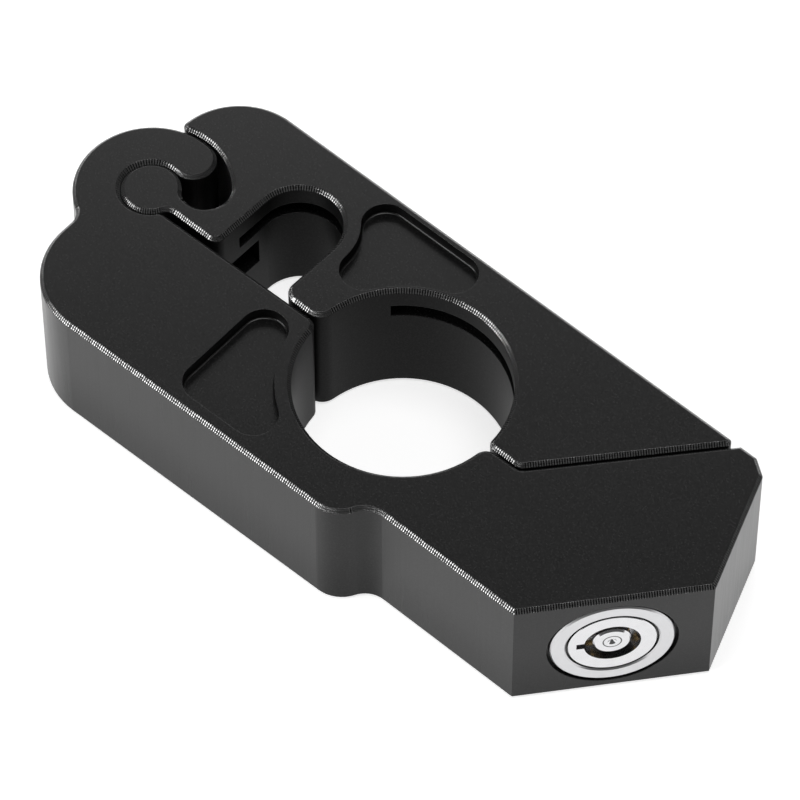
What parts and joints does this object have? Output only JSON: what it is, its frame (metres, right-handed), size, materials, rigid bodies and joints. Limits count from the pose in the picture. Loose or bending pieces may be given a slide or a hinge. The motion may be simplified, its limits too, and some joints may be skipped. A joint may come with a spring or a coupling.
{
  "type": "handlebar grip and brake lever clamp lock",
  "caption": "Anodised aluminium clamp lock that closes round a motorcycle grip and its brake lever, with a swinging jaw, a sliding bolt and a tubular key lock.",
  "frame": {"origin": "on the axis of the bore that closes round the grip, at the middle of the plates' thickness", "axes": "+X from the hinge hook to the key face, +Y from the body to the swinging jaw, +Z along the grip out of the face with the pockets"},
  "size_m": [0.1475, 0.0612, 0.028],
  "materials": {
    "anodised_black": "black anodised, satin top with bright chattered chamfers",
    "chrome": "satin and polished chrome",
    "steel": "ground steel",
    "black_steel": "black oxide",
    "brass": "turned brass",
    "rubber": "matte black"
  },
  "bodies": {
    "housing": {"body": "anodised_black", "hinge_screw": "black_steel", "sleeve_screw": "black_steel", "bolt_guide_screw": "black_steel", "lock_sleeve": "chrome", "sleeve_ring": "rubber", "lock_barrel": "chrome", "pin_block": "brass", "driver_pins": "steel", "pin_springs": "steel", "block_dowel": "steel", "stop_pin": "steel", "retaining_ring": "black_steel"},
    "swing_jaw": {"jaw": "anodised_black", "striker_bush": "steel"},
    "key_plug": {"lock_plug": "chrome", "key_pins": "brass", "cam_drum": "steel", "drum_screw": "steel"},
    "sliding_bolt": {"lock_bolt": "steel", "cam_pins": "steel"}
  },
  "joints": [
    {"name": "jaw_hinge", "type": "hinge", "parent": "housing", "child": "swing_jaw", "pos_m": [-0.0633, 0.0027, 0], "axis": [0, 0, 1], "range_deg": [0, 38]},
    {"name": "plug_turn", "type": "hinge", "parent": "housing", "child": "key_plug", "pos_m": [0.05833, -0.01095, 0], "axis": [-0.7617, 0.6479, 0], "range_deg": [0, 90]},
    {"name": "bolt_slide", "type": "slide", "parent": "housing", "child": "sliding_bolt", "axis": [-0.7617, 0.6479, 0], "range_m": [0, 0.006]}
  ],
  "couplings": [
    {"joint": "bolt_slide", "follows": "plug_turn", "m_per_rad": 0.0038195}
  ]
}
